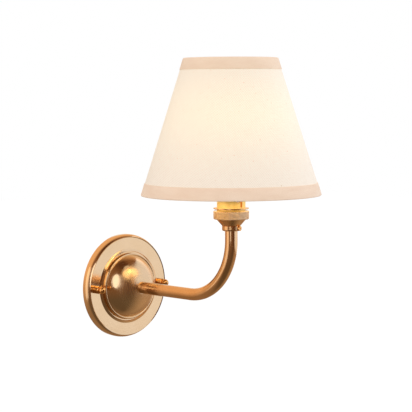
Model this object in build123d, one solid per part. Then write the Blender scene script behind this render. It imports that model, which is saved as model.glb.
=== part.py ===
from build123d import *

# A swan-neck wall light: a spun brass backplate on a steel strap, a bent brass tube arm, a brass
# bayonet lampholder and a fabric empire shade carried on the lampholder's threaded barrel.
#
# Millimetres. The origin is the centre of the backplate on the wall. The wall is the plane Y = 0,
# the room is on the -Y side, +Z is up and +X is to the right of someone who faces the wall.
#
# Pieces of round section are turned about Z from outlines of (radius, height) points. Those on
# the wall then lie down so that their height runs out from the wall; those of the lampholder,
# lamp and shade move to the lampholder's upright axis.

import os
from math import asin, cos, pi, radians, sin, sqrt

# ---------------------------------------------------------------- clearances

fit = 0.05  # radial play of a screw in its thread, and of a piece that slides in a bore
turn_gap = 0.1  # between the faces of pieces that turn on each other
glue_line = 0.05
nipple_play = 0.15  # of a nipple in the hole that it only passes through
diagonal = 1 - cos(pi / 4)  # how far a quarter round's middle lies in from its corner's sides

# ---------------------------------------------------------------- backplate

plate_radius = 55.5
plate_wall = 1.0
rim_straight = 3.2
rim_depth = 9.4
face_radius = 52.9
face_dish = 0.5
lip_width = 0.9
step_rise = 1.5
flare_run = 2.5
flare_hollow = 0.15
groove_width = 1.5
groove_depth = 0.9
groove_slope = 0.45
bead_rise = 4.0
bead_inset = 0.5
bead_width = 2.3
bead_shoulder = 0.8
dome_foot_drop = 0.5
dome_height = 32.0

# ---------------------------------------------------------------- wall strap and finial nuts

strap_width = 16.0
strap_wall = 1.5
strap_tail = 6.6
joggle_to_stud = 6.4
joggle_run = 4.0
joggle_rise = 3.4
cable_hole_radius = 6.0
slot_spacing = 52.0
slot_length = 10.0
slot_width = 4.6
pad_width = 31.0
pad_reach = 26.5
pad_corner = 3.0

stud_spacing = 88.8
stud_radius = 2.0
stud_length = 11.4
stud_head_radius = 3.6
stud_head_height = 2.4
stud_hole_radius = 2.4

finial_radius = 4.2
finial_barrel = 6.7
finial_edge = 0.4
finial_neck_radius = 2.9
finial_neck = 0.5
finial_ball_radius = 3.9
finial_bore_depth = 6.2
finial_clear = 0.2  # from the nut's side to the foot of the plate's flare

# ---------------------------------------------------------------- terminal block

block_ways = 3
way_spacing = 8.0
block_depth = 13.0
block_height = 11.0
block_side = 5.5
block_clear = 1.3
block_edge = 1.2
way_height = 5.0
insert_radius = 2.3
insert_bore = 1.5
insert_inset = 0.5
clamp_screw_radius = 1.3
clamp_screw_spacing = 6.4
clamp_well_radius = 1.8
clamp_screw_inset = 1.2
fixing_screw_radius = 1.5
fixing_head_radius = 2.4
fixing_head_height = 1.6
fixing_seat_wall = 0.6
slot_cut_width = 0.6
slot_cut_depth = 0.6

# ---------------------------------------------------------------- arm

projection = 166.0
arm_rise = 69.0
bend_radius = 59.5
tube_radius = 6.35
tube_wall = 1.3
arm_seat_margin = 0.45
nipple_wall = 1.4
nipple_engaged = 12.0
wall_nipple_tail = 10.5
holder_nipple_engaged = 4.0
washer_radius = 9.0
washer_wall = 1.2
lock_nut_flats = 14.0
lock_nut_height = 3.0

# ---------------------------------------------------------------- lampholder

neck_radius = 9.3
neck_height = 5.5
neck_round = 1.6
neck_floor = 0.6
neck_wall = 1.8
neck_step = 0.5
neck_step_depth = 0.5
cone_foot_radius = 9.6
cone_step = 0.7
cone_height = 6.0
cap_wall = 1.2
cap_collar = 0.7
cap_ledge = 2.1
cap_thread_radius = 15.6
cap_thread_height = 5.7
cap_ring_radius = 17.8
cap_ring_height = 8.2
cap_ring_lift = 0.4
cap_ring_lip = 1.0
cap_ring_edge = 0.45

barrel_radius = 14.25
barrel_wall = 0.8
barrel_flange = 1.0
barrel_roll = 0.5
barrel_height = 19.4
skirt_radius = 12.3
skirt_height = 16.5

slot_gap = 0.25
bayonet_turn = 18.0
front_slot_depth = 15.6

shade_ring_radius = 17.8
shade_ring_wall = 1.3
shade_ring_edge = 0.3
foot_ring_lift = 1.85
carrier_drop = 6.9

insulator_nose_radius = 11.3
insulator_nose = 4.6
contact_spacing = 10.8
post_radius = 2.4
post_below = 2.4
plunger_radius = 1.7
plunger_length = 10.0
post_floor = 1.0
spring_play = 0.1
spring_wall = 0.4
earth_post_radius = 2.0
earth_post_length = 2.6
earth_post_offset = 6.4
terminal_screw_radius = 1.0
terminal_screw_length = 2.2

grub_turn = 12.0
grub_lift = 2.86
grub_radius = 1.4
grub_head_radius = 2.5
grub_head_height = 1.5
grub_slot_width = 0.7
grub_slot_depth = 0.8
grub_slot_turn = 40.0

# ---------------------------------------------------------------- lamp

pin_drop = 7.2
pin_radius = 1.0
pin_reach = 13.4
pin_to_contact = 6.8
push_travel = 2.0
lamp_cap_radius = 10.975
lamp_cap_wall = 0.4
lamp_cap_height = 24.0
lamp_cap_flare_radius = 13.0
lamp_cap_flare = 8.0
lamp_cap_flare_rise = 2.5
lamp_contact_radius = 2.0
lamp_contact_wall = 0.8
lamp_base_wall = 2.7
globe_radius = 30.0
globe_height = 76.0
globe_neck_radius = 12.5
globe_join = 41.4
glass_wall = 0.8
glass_seat = 0.4
stem_seat = 2.0
stem_radius = 3.0
stem_flare_radius = 4.5
stem_flare_rise = 4.0
stem_taper_rise = 10.0
stem_rise = 32.0
stem_disc_radius = 8.5
stem_disc_wall = 1.0
stem_rod_radius = 1.2
filament_count = 4
filament_radius = 0.8
filament_length = 37.0
filament_offset = 7.0

# ---------------------------------------------------------------- shade

shade_bottom_radius = 90.0
shade_top_radius = 47.0
shade_height = 136.0
shade_lift = 2.9
tape_wall = 0.5
fabric_wall = 0.7
liner_wall = 0.4
bottom_tape_height = 12.5
top_tape_height = 11.5
tape_turn_in = 7.0
tape_edge = 0.7
ring_wire_radius = 1.4
ring_wire_clear = 0.2

carrier_outer_radius = 20.5
carrier_wall = 1.2
carrier_play = 0.35
spoke_count = 3
spoke_radius = 1.2

# ---------------------------------------------------------------- wires

wire_radius = 1.0
wire_offset = 1.5
wire_entry = 6.0
wire_entry_bend = 3.5
wire_mouth_bend = 6.0
wire_end_bend = 2.0
wire_end = 1.8

# ---------------------------------------------------------------- what follows from the sizes

face_height = rim_depth - face_dish
step_height = face_height + step_rise
tube_bore = tube_radius - tube_wall
nipple_radius = tube_bore - fit
nipple_bore = nipple_radius - nipple_wall
nipple_hole = tube_bore + nipple_play
arm_seat_radius = tube_radius + arm_seat_margin
stud_x = stud_spacing / 2
step_radius = stud_x - finial_radius - finial_clear - flare_run

neck_z = arm_rise
cone_z = neck_z + neck_height
cone_top_z = cone_z + cone_height
cone_top_radius = cap_thread_radius - cone_step
thread_z = cone_top_z + cap_collar
ledge_z = thread_z + cap_wall
flange_z = thread_z + cap_thread_height
cap_ring_z = cone_top_z + cap_ring_lift
cap_ring_top_z = cap_ring_z + cap_ring_height
barrel_top_z = cap_ring_top_z + barrel_height
foot_ring_z = cap_ring_top_z + foot_ring_lift
carrier_z = barrel_top_z - carrier_drop
lower_ring_z = carrier_z - turn_gap - shade_ring_wall
upper_ring_z = carrier_z + carrier_wall + turn_gap
insulator_top_z = flange_z + insulator_nose

pin_z = barrel_top_z - pin_drop
contact_z = pin_z - pin_to_contact
lamp_base_z = contact_z + lamp_contact_wall
lamp_cap_top_z = lamp_base_z + lamp_cap_height
globe_z = contact_z + globe_height

shade_z = carrier_z + shade_lift
cone_lean = (shade_bottom_radius - shade_top_radius) / shade_height
cone_slant = sqrt(1 + cone_lean**2)

fabric_depth = tape_wall + glue_line
liner_depth = fabric_depth + fabric_wall + glue_line
shell_depth = liner_depth + liner_wall
ring_wire_depth = shell_depth + ring_wire_clear + ring_wire_radius
tape_depth = ring_wire_depth + ring_wire_radius + glue_line + tape_wall
ring_wire_rise = tape_wall + ring_wire_clear + ring_wire_radius

# ---------------------------------------------------------------- shared operations


def outline(points):
    """A closed face from (radius, height) points; (radius, height, "bend") bends the line there."""
    edges = []
    start = points[0]
    bend = None
    for point in points[1:] + points[:1]:
        if len(point) == 3:
            bend = point
            continue
        a = (start[0], 0, start[1])
        b = (point[0], 0, point[1])
        edges.append(ThreePointArc(a, (bend[0], 0, bend[1]), b) if bend else Line(a, b))
        start = point
        bend = None
    return make_face(edges)


def turned(points):
    return revolve(outline(points), Axis.Z)


def turned_ring(inner, outer, low, high):
    return turned([(inner, low), (outer, low), (outer, high), (inner, high)])


def on_wall(shape):
    """Lay a piece that was made upright against the wall: its height becomes its distance out."""
    return Rot(90, 0, 0) * shape


def on_holder(shape):
    return Pos(0, -projection, 0) * shape


def rod(start, end, radius):
    """A straight round bar from one point to another."""
    run = Vector(end) - Vector(start)
    section = Plane(origin=start, z_dir=run) * Circle(radius)
    return extrude(section, run.length)


def circle_centre(first, second):
    """Height, on the axis, of the centre of a circle through two (radius, height) points."""
    gap = first[0] ** 2 + first[1] ** 2 - second[0] ** 2 - second[1] ** 2
    return gap / (2 * (first[1] - second[1]))


def around(count, start=0.0):
    return [start + 360 / count * i for i in range(count)]


def group(pieces):
    return Compound(children=list(pieces))


# ---------------------------------------------------------------- backplate

groove_height = step_height - groove_depth
bead_outer_radius = step_radius - groove_width
bead_side = bead_outer_radius - bead_inset
bead_top = groove_height + bead_rise
dome_foot = (bead_side - bead_width, bead_top - dome_foot_drop)
dome_seat = (arm_seat_radius, dome_height)
dome_centre = circle_centre(dome_foot, dome_seat)
dome_sphere = sqrt(arm_seat_radius**2 + (dome_height - dome_centre) ** 2)
rim_run = plate_radius - face_radius
rim_rise = rim_depth - rim_straight
rim_arc = (rim_run**2 + rim_rise**2) / (2 * rim_run)


def dome_point(angle, radius):
    """A point of the dome's section, at an angle from the axis."""
    return (radius * sin(angle), dome_centre + radius * cos(angle))


def dome_height_at(radius, sphere):
    return dome_centre + sqrt(sphere**2 - radius**2)


def rim_point(angle, radius):
    """A point of the rounded rim's section, at an angle above the wall's plane."""
    return (plate_radius - rim_arc + radius * cos(angle), rim_straight + radius * sin(angle))


def backplate():
    foot_angle = asin(dome_foot[0] / dome_sphere)
    seat_angle = asin(arm_seat_radius / dome_sphere)
    inner_sphere = dome_sphere - plate_wall
    inner_seat_height = dome_height - plate_wall
    inner_seat_radius = sqrt(inner_sphere**2 - (inner_seat_height - dome_centre) ** 2)
    inner_face = face_height - plate_wall
    rim_angle = asin(rim_rise / rim_arc)
    inner_rim = rim_arc - plate_wall
    inner_rim_angle = asin((inner_face - rim_straight) / inner_rim)
    inner_foot = dome_point(foot_angle, inner_sphere)
    section = [
        (plate_radius - plate_wall, 0),
        (plate_radius, 0),
        (plate_radius, rim_straight),
        (*rim_point(rim_angle / 2, rim_arc), "bend"),
        (face_radius, rim_depth),
        (face_radius - lip_width, face_height),
        (step_radius + flare_run, face_height),
        (step_radius + flare_run / 2, face_height + step_rise / 2 - flare_hollow, "bend"),
        (step_radius, step_height),
        (step_radius - groove_slope, groove_height),
        (bead_outer_radius, groove_height),
        (bead_side, bead_top - bead_shoulder),
        (bead_side - bead_width / 2, bead_top, "bend"),
        dome_foot,
        (*dome_point((foot_angle + seat_angle) / 2, dome_sphere), "bend"),
        dome_seat,
        (nipple_hole, dome_height),
        (nipple_hole, inner_seat_height),
        (inner_seat_radius, inner_seat_height),
        (*dome_point((foot_angle + seat_angle) / 2, inner_sphere), "bend"),
        inner_foot,
        (bead_side - plate_wall, bead_top - bead_shoulder - plate_wall / 2),
        (bead_outer_radius - plate_wall, inner_face),
        rim_point(inner_rim_angle, inner_rim),
        (*rim_point(inner_rim_angle / 2, inner_rim), "bend"),
        (plate_radius - plate_wall, rim_straight),
    ]
    plate = on_wall(turned(section))
    for x in (-stud_x, stud_x):
        plate -= rod((x, 0, 0), (x, -rim_depth * 2, 0), stud_hole_radius)
    return plate


# ---------------------------------------------------------------- wall strap, studs, finial nuts

strap_end = stud_x + strap_tail
block_width = way_spacing * (block_ways - 1) + 2 * block_side
block_top_z = -strap_width / 2 - block_clear
block_mid_z = block_top_z - block_depth / 2
way_y = -(strap_wall + way_height)
fixing_x = way_spacing / 2


def strap_outline():
    """The strap seen from the room: a round-ended bar with a pad below its middle."""
    bar = SlotOverall(2 * strap_end, strap_width)
    pad = RectangleRounded(pad_width, pad_reach + strap_width / 2, pad_corner)
    return bar + Pos(0, (strap_width / 2 - pad_reach) / 2) * pad


def wall_bracket():
    """The bar bends away from the wall at each end, so that the stud heads fit behind it."""
    joggle_end = stud_x - joggle_to_stud
    joggle_start = joggle_end - joggle_run
    line = [
        (-strap_end, joggle_rise),
        (-joggle_end, joggle_rise),
        (-joggle_start, 0),
        (joggle_start, 0),
        (joggle_end, joggle_rise),
        (strap_end, joggle_rise),
    ]
    front = [(x, height + strap_wall) for x, height in reversed(line)]
    side_view = make_face(Polyline(*line, *front, close=True))
    reach = pad_reach + strap_width
    bent = extrude(Rot(180, 0, 0) * side_view, reach, both=True)
    plan = Rot(90, 0, 0) * extrude(strap_outline(), joggle_rise + strap_wall)
    strap = bent & plan
    strap -= rod((0, 1, 0), (0, -2 * strap_wall, 0), cable_hole_radius)
    slot = Rot(90, 0, 0) * extrude(SlotOverall(slot_length, slot_width), 2 * strap_wall, both=True)
    for x in (-slot_spacing / 2, slot_spacing / 2):
        strap -= Pos(x, 0, 0) * slot
    for x in (-stud_x, stud_x):
        strap -= rod((x, 0, 0), (x, -2 * (joggle_rise + strap_wall), 0), stud_radius + fit)
    fixing = (fixing_x, 1, block_mid_z), (fixing_x, -2 * strap_wall, block_mid_z)
    return strap - rod(*fixing, fixing_screw_radius + fit)


def bracket_stud():
    head_foot = joggle_rise - stud_head_height
    head = Cylinder(stud_head_radius, stud_head_height, align=(Align.CENTER, Align.CENTER, Align.MIN))
    shank = Cylinder(stud_radius, stud_length, align=(Align.CENTER, Align.CENTER, Align.MIN))
    return on_wall(Pos(0, 0, head_foot) * head + Pos(0, 0, joggle_rise) * shank)


def finial_nut():
    """A plain barrel with a ball end, tapped blind to go on a stud."""
    foot = face_height + fit
    barrel_end = foot + finial_barrel
    neck_end = barrel_end + finial_neck
    neck_angle = asin(finial_neck_radius / finial_ball_radius)
    ball_centre = neck_end + finial_ball_radius * cos(neck_angle)
    bore = stud_radius + fit
    nut = turned([
        (bore, foot),
        (finial_radius - finial_edge, foot),
        (finial_radius, foot + finial_edge),
        (finial_radius, barrel_end - finial_edge),
        (finial_radius - finial_edge, barrel_end),
        (finial_neck_radius, barrel_end),
        (finial_neck_radius, neck_end),
        (finial_ball_radius, ball_centre, "bend"),
        (0, ball_centre + finial_ball_radius),
        (0, foot + finial_bore_depth),
        (bore, foot + finial_bore_depth),
    ])
    return on_wall(nut)


# ---------------------------------------------------------------- terminal block behind the plate

way_x = [way_spacing * (i - (block_ways - 1) / 2) for i in range(block_ways)]
clamp_z = [block_mid_z - clamp_screw_spacing / 2, block_mid_z + clamp_screw_spacing / 2]
block_front_y = -(strap_wall + block_height)
fixing_seat_y = way_y - insert_radius - fixing_seat_wall


def terminal_block():
    body = Pos(0, -(strap_wall + block_height / 2), block_mid_z) * Box(block_width, block_height, block_depth)
    edges = body.edges().filter_by(Axis.Z).group_by(Axis.Y)[0]
    body = fillet(edges, block_edge)
    for x in way_x:
        top = (x, way_y, block_top_z + 1)
        bottom = (x, way_y, block_top_z - block_depth - 1)
        body -= rod(top, bottom, insert_radius + fit)
        for z in clamp_z:
            body -= rod((x, way_y, z), (x, block_front_y - 1, z), clamp_well_radius)
    fixing = (fixing_x, 0, block_mid_z), (fixing_x, block_front_y - 1, block_mid_z)
    body -= rod(*fixing, fixing_screw_radius + fit)
    body -= rod((fixing_x, fixing_seat_y, block_mid_z), fixing[1], fixing_head_radius + fit)
    return body


def terminal_insert(x):
    """The brass tube of one way, drilled for its two clamp screws."""
    top = (x, way_y, block_top_z - insert_inset)
    bottom = (x, way_y, block_top_z - block_depth + insert_inset)
    tube = rod(top, bottom, insert_radius) - rod(top, bottom, insert_bore)
    for z in clamp_z:
        tube -= rod((x, way_y, z), (x, way_y - insert_radius - 1, z), clamp_screw_radius + fit)
    return tube


def clamp_screw(x, z):
    tip_y = way_y - wire_radius - fit
    head_y = block_front_y + clamp_screw_inset
    screw = rod((x, tip_y, z), (x, head_y, z), clamp_screw_radius)
    slot = Box(3 * clamp_screw_radius, 2 * slot_cut_depth, slot_cut_width)
    return screw - Pos(x, head_y, z) * slot


def block_fixing_screw():
    tip = (fixing_x, -fit, block_mid_z)
    seat = (fixing_x, fixing_seat_y, block_mid_z)
    top = (fixing_x, fixing_seat_y - fixing_head_height, block_mid_z)
    slot = Box(3 * fixing_head_radius, 2 * slot_cut_depth, slot_cut_width)
    return rod(tip, seat, fixing_screw_radius) + rod(seat, top, fixing_head_radius) - Pos(*top) * slot


# ---------------------------------------------------------------- arm


def arm_line():
    """Centre line of the tube, from the dome's seat out, round the bend and up."""
    bend_start = (0, -(projection - bend_radius), 0)
    bend_end = (0, -projection, bend_radius)
    middle = (0, bend_start[1] - bend_radius * sin(pi / 4), bend_radius * (1 - cos(pi / 4)))
    out = Line((0, -dome_height, 0), bend_start)
    bend = ThreePointArc(bend_start, middle, bend_end)
    up = Line(bend_end, (0, -projection, arm_rise))
    return Wire([out, bend, up])


def arm_tube():
    start = Plane(origin=(0, -dome_height, 0), z_dir=(0, -1, 0))
    section = start * (Circle(tube_radius) - Circle(tube_bore))
    return sweep(section, path=arm_line())


def nipple(low, high):
    """Threaded tube that joins the arm to what is at its end."""
    return turned_ring(nipple_bore, nipple_radius, low, high)


washer_top = dome_height_at(washer_radius, dome_sphere - plate_wall) - fit
washer_foot = washer_top - washer_wall
lock_nut_foot = washer_foot - lock_nut_height


def arm_nipple():
    return on_wall(nipple(dome_height - wall_nipple_tail, dome_height + nipple_engaged))


def arm_washer():
    return on_wall(turned_ring(nipple_hole, washer_radius, washer_foot, washer_top))


def arm_lock_nut():
    hexagon = RegularPolygon(lock_nut_flats / 2, 6, major_radius=False) - Circle(nipple_radius + fit)
    return on_wall(Pos(0, 0, lock_nut_foot) * extrude(hexagon, lock_nut_height))


# ---------------------------------------------------------------- lampholder

# Angles about the lampholder's axis are counted from the room side, -Y, towards +X.


def facing(angle, radius, z):
    """A point round the lampholder's axis, before it is moved to its place."""
    return (radius * sin(radians(angle)), -radius * cos(radians(angle)), z)


def holder_nipple():
    return on_holder(nipple(arm_rise - nipple_engaged, neck_z + holder_nipple_engaged))


grub_z = neck_z + grub_lift


def grub_bar(inner, outer, radius):
    """A round bar along the grub screw's axis, between two distances from the holder's axis."""
    return rod(facing(grub_turn, inner, grub_z), facing(grub_turn, outer, grub_z), radius)


def lampholder_cap():
    """Neck, cone and threaded rim of the holder, hollow for the wires and the insulator."""
    nipple_top_z = neck_z + holder_nipple_engaged + neck_floor
    tap = nipple_radius + fit
    rim_bore = cap_thread_radius - cap_wall
    cone_bore = rim_bore - cap_ledge
    neck_bore = neck_radius - neck_wall
    cap = turned([
        (tap, neck_z),
        (neck_radius - neck_round, neck_z),
        (neck_radius - neck_round * diagonal, neck_z + neck_round * diagonal, "bend"),
        (neck_radius, neck_z + neck_round),
        (neck_radius, cone_z - neck_step),
        (neck_radius - neck_step_depth, cone_z - neck_step / 2),
        (cone_foot_radius, cone_z),
        (cone_top_radius, cone_top_z),
        (cone_top_radius, thread_z),
        (cap_thread_radius, thread_z),
        (cap_thread_radius, flange_z - turn_gap),
        (rim_bore, flange_z - turn_gap),
        (rim_bore, ledge_z),
        (cone_bore, ledge_z),
        (cone_bore, cone_top_z),
        (neck_bore, cone_z),
        (neck_bore, nipple_top_z),
        (tap, nipple_top_z),
    ])
    return on_holder(cap - grub_bar(0, 2 * neck_radius, grub_radius + fit))


def grub_screw():
    """Slotted screw that locks the cap on the nipple; its head is let into the neck's curve."""
    outer = neck_radius + grub_head_height
    shank = grub_bar(nipple_radius + fit, outer, grub_radius)
    neck = Pos(0, 0, grub_z) * Cylinder(neck_radius, 2 * neck_height)
    head = grub_bar(0, outer, grub_head_radius) - neck
    slot = Box(3 * grub_head_radius, 2 * grub_slot_depth, grub_slot_width)
    slot = Rot(0, 0, grub_turn) * Pos(0, -outer, grub_z) * Rot(0, grub_slot_turn, 0) * slot
    return on_holder(shank + head - slot)


def cap_ring():
    """Ring nut that draws the barrel's flange down on the cap."""
    lip_z = cap_ring_top_z - cap_ring_lip
    edge = cap_ring_edge
    return on_holder(turned([
        (cap_thread_radius + fit, cap_ring_z),
        (cap_ring_radius - edge, cap_ring_z),
        (cap_ring_radius, cap_ring_z + edge),
        (cap_ring_radius, cap_ring_top_z - edge),
        (cap_ring_radius - edge, cap_ring_top_z),
        (barrel_radius + fit, cap_ring_top_z),
        (barrel_radius + fit, lip_z),
        (cap_thread_radius + fit, lip_z),
    ]))


slot_half = pin_radius + slot_gap
channel_low_z = pin_z - push_travel - pin_radius - slot_gap
channel_high_z = pin_z - push_travel + pin_radius + slot_gap
hook_top_z = pin_z + pin_radius + slot_gap


def upright_slot(angle, low, high):
    """A slot through both sides of the barrel."""
    height = high - low
    box = Box(2 * slot_half, 4 * barrel_radius, height)
    return Rot(0, 0, angle) * Pos(0, 0, low + height / 2) * box


def bayonet_slots():
    """Each slot runs down from the rim, turns along a channel and hooks up to hold the pin."""
    hook = upright_slot(-bayonet_turn, channel_low_z, hook_top_z)
    leg = upright_slot(0, barrel_top_z - front_slot_depth, barrel_top_z + 1)
    channel = outline([
        (insulator_nose_radius - 1, channel_low_z),
        (barrel_radius + 1, channel_low_z),
        (barrel_radius + 1, channel_high_z),
        (insulator_nose_radius - 1, channel_high_z),
    ])
    sector = Rot(0, 0, -90 - bayonet_turn) * revolve(channel, Axis.Z, bayonet_turn)
    return hook + leg + sector + Rot(0, 0, 180) * sector


def lampholder_barrel():
    """Pressed barrel: a threaded outer wall rolled over at its rim into an inner skirt."""
    outer_bore = barrel_radius - barrel_wall
    skirt_bore = skirt_radius - barrel_wall
    flange_top_z = flange_z + barrel_flange
    roll_z = barrel_top_z - barrel_wall
    edge_z = barrel_top_z - barrel_roll
    corner = barrel_roll * diagonal
    barrel = turned([
        (outer_bore, flange_z),
        (cap_thread_radius, flange_z),
        (cap_thread_radius, flange_top_z),
        (barrel_radius, flange_top_z),
        (barrel_radius, edge_z),
        (barrel_radius - corner, barrel_top_z - corner, "bend"),
        (barrel_radius - barrel_roll, barrel_top_z),
        (skirt_bore + barrel_roll, barrel_top_z),
        (skirt_bore + corner, barrel_top_z - corner, "bend"),
        (skirt_bore, edge_z),
        (skirt_bore, barrel_top_z - skirt_height),
        (skirt_radius, barrel_top_z - skirt_height),
        (skirt_radius, roll_z),
        (outer_bore, roll_z),
    ])
    return on_holder(barrel - bayonet_slots())


def shade_ring(low):
    """Thin threaded ring that runs on the barrel."""
    edge = shade_ring_edge
    bore = barrel_radius + fit
    high = low + shade_ring_wall
    return on_holder(turned([
        (bore, low),
        (shade_ring_radius - edge, low),
        (shade_ring_radius, low + edge),
        (shade_ring_radius, high - edge),
        (shade_ring_radius - edge, high),
        (bore, high),
    ]))


# ---------------------------------------------------------------- contacts inside the lampholder

contact_offset = contact_spacing / 2
contact_angles = [90 - bayonet_turn, 270 - bayonet_turn]
post_foot_z = ledge_z - post_below
post_bore = plunger_radius + fit
plunger_foot_z = contact_z - plunger_length
earth_angle = 180 - bayonet_turn


def holder_insulator():
    body = turned([
        (0, ledge_z),
        (cap_thread_radius - cap_wall - turn_gap, ledge_z),
        (cap_thread_radius - cap_wall - turn_gap, flange_z - turn_gap),
        (insulator_nose_radius, flange_z - turn_gap),
        (insulator_nose_radius, insulator_top_z),
        (0, insulator_top_z),
    ])
    for angle in contact_angles:
        body -= rod(
            facing(angle, contact_offset, ledge_z - 1),
            facing(angle, contact_offset, insulator_top_z + 1),
            post_radius + fit,
        )
    return on_holder(body)


def contact_post(angle):
    """Brass post, blind at its foot, that holds a spring and guides a plunger."""
    foot = facing(angle, contact_offset, post_foot_z)
    top = facing(angle, contact_offset, insulator_top_z)
    bore_foot = facing(angle, contact_offset, post_foot_z + post_floor)
    return on_holder(rod(foot, top, post_radius) - rod(bore_foot, top, post_bore))


def plunger_spring(angle):
    """The space that the plunger's small compression spring fills."""
    foot = facing(angle, contact_offset, post_foot_z + post_floor)
    top = facing(angle, contact_offset, plunger_foot_z)
    outer = plunger_radius - spring_play
    return on_holder(rod(foot, top, outer) - rod(foot, top, outer - spring_wall))


def contact_plunger(angle):
    foot = facing(angle, contact_offset, plunger_foot_z)
    top = facing(angle, contact_offset, contact_z)
    return on_holder(rod(foot, top, plunger_radius))


def terminal_screw(angle):
    z = post_foot_z + post_below / 2
    inner = contact_offset + post_radius
    start = facing(angle, inner, z)
    end = facing(angle, inner + terminal_screw_length, z)
    return on_holder(rod(start, end, terminal_screw_radius))


def earth_post():
    top = facing(earth_angle, earth_post_offset, ledge_z)
    foot = facing(earth_angle, earth_post_offset, ledge_z - earth_post_length)
    return on_holder(rod(foot, top, earth_post_radius))


# ---------------------------------------------------------------- lamp


def lamp_cap():
    flare_z = lamp_cap_top_z - lamp_cap_flare
    inner = lamp_cap_radius - lamp_cap_wall
    inner_flare = lamp_cap_flare_radius - lamp_cap_wall
    rise = lamp_cap_flare_rise
    return on_holder(turned([
        (inner, lamp_base_z),
        (lamp_cap_radius, lamp_base_z),
        (lamp_cap_radius, flare_z),
        (lamp_cap_flare_radius, flare_z + rise),
        (lamp_cap_flare_radius, lamp_cap_top_z),
        (inner_flare, lamp_cap_top_z),
        (inner_flare, flare_z + rise + lamp_cap_wall),
        (inner, flare_z + lamp_cap_wall),
    ]))


def lamp_pin(angle):
    start = facing(angle, lamp_cap_radius - 1, pin_z)
    end = facing(angle, pin_reach, pin_z)
    wall = Pos(0, 0, pin_z) * Cylinder(lamp_cap_radius, 4 * pin_radius)
    return on_holder(rod(start, end, pin_radius) - wall)


def lamp_insulator():
    radius = lamp_cap_radius - lamp_cap_wall - glue_line
    return on_holder(turned([
        (0, lamp_base_z),
        (radius, lamp_base_z),
        (radius, lamp_base_z + lamp_base_wall),
        (0, lamp_base_z + lamp_base_wall),
    ]))


def lamp_contact(angle):
    foot = facing(angle, contact_offset, contact_z)
    top = facing(angle, contact_offset, lamp_base_z)
    return on_holder(rod(foot, top, lamp_contact_radius))


def globe_outline(inset, low):
    """Outline of the bulb from its neck to its crown, inset by a wall."""
    join = radians(globe_join)
    globe = globe_radius - inset
    neck = globe_neck_radius - inset
    sweep_radius = (globe_radius * cos(join) - globe_neck_radius) / (1 - cos(join)) + inset
    join_point = (globe * cos(join), globe_z - globe * sin(join))
    bend_z = join_point[1] - sweep_radius * sin(join)
    half = join / 2
    middle = (neck + sweep_radius * (1 - cos(half)), bend_z + sweep_radius * sin(half), "bend")
    crown = (globe * cos(radians(24)), globe_z + globe * sin(radians(24)), "bend")
    return [(neck, low), (neck, bend_z), middle, join_point, crown, (0, globe_z + globe)]


def lamp_glass():
    low = lamp_cap_top_z - lamp_cap_flare + lamp_cap_flare_rise + lamp_cap_wall + glass_seat
    outer = turned([*globe_outline(0, low), (0, low)])
    inner = turned([*globe_outline(glass_wall, low - 1), (0, low - 1)])
    return on_holder(outer - inner)


stem_foot_z = lamp_cap_top_z - stem_seat
stem_disc_z = stem_foot_z + stem_rise
filament_z = stem_disc_z + stem_disc_wall


def lamp_stem():
    """Glass mount with the discs that carry the filaments."""
    top_z = filament_z + filament_length
    return on_holder(turned([
        (0, stem_foot_z),
        (globe_neck_radius - glass_wall - glue_line, stem_foot_z),
        (stem_flare_radius, stem_foot_z + stem_flare_rise),
        (stem_radius, stem_foot_z + stem_taper_rise),
        (stem_radius, stem_disc_z),
        (stem_disc_radius, stem_disc_z),
        (stem_disc_radius, filament_z),
        (stem_rod_radius, filament_z),
        (stem_rod_radius, top_z),
        (stem_disc_radius, top_z),
        (stem_disc_radius, top_z + stem_disc_wall),
        (0, top_z + stem_disc_wall),
    ]))


def lamp_filament(angle):
    foot = facing(angle, filament_offset, filament_z)
    top = facing(angle, filament_offset, filament_z + filament_length)
    return on_holder(rod(foot, top, filament_radius))


# ---------------------------------------------------------------- shade


def shade_point(depth, height):
    """(radius, height) of a point under the shade's outer surface, height counted from its foot."""
    radius = shade_bottom_radius - cone_lean * height - depth * cone_slant
    return (radius, shade_z + height)


def shade_layer(depth, wall):
    """One cone of the shade's laminate, between the turned-in tapes."""
    low = tape_wall + glue_line
    high = shade_height - low
    corners = [(depth, low), (depth + wall, low), (depth + wall, high), (depth, high)]
    return on_holder(turned([shade_point(*corner) for corner in corners]))


def shade_fabric():
    return shade_layer(fabric_depth, fabric_wall)


def shade_liner():
    return shade_layer(liner_depth, liner_wall)


def edge_tape(band, from_top):
    """Tape folded over an edge: a band outside, a turn under the ring wire, a flap inside."""
    corners = [
        (0, band),
        (0, tape_edge),
        (tape_edge, 0),
        (tape_depth - tape_edge, 0),
        (tape_depth, tape_edge),
        (tape_depth, tape_turn_in),
        (tape_depth - tape_wall, tape_turn_in),
        (tape_depth - tape_wall, tape_wall),
        (tape_wall, tape_wall),
        (tape_wall, band),
    ]
    if from_top:
        corners = [(depth, shade_height - height) for depth, height in corners]
    return turned([shade_point(*corner) for corner in corners])


def ring_wire(height):
    radius, z = shade_point(ring_wire_depth, height)
    return Pos(0, 0, z) * Torus(radius, ring_wire_radius)


def spoke(angle, radius):
    """Straight wire from the carrier's ring to the bottom ring wire."""
    wire_r, wire_z = shade_point(ring_wire_depth, ring_wire_rise)
    start_r = carrier_outer_radius - 2 * spoke_radius
    return rod(facing(angle, start_r, carrier_z + carrier_wall / 2), facing(angle, wire_r, wire_z), radius)


def bottom_ring_wire():
    return on_holder(ring_wire(ring_wire_rise))


def top_ring_wire():
    return on_holder(ring_wire(shade_height - ring_wire_rise))


def top_tape():
    return on_holder(edge_tape(top_tape_height, True))


def bottom_tape():
    """The flap inside is notched where the spokes pass."""
    tape = edge_tape(bottom_tape_height, False)
    for angle in around(spoke_count, 180):
        tape -= spoke(angle, spoke_radius + fit)
    return on_holder(tape)


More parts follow.
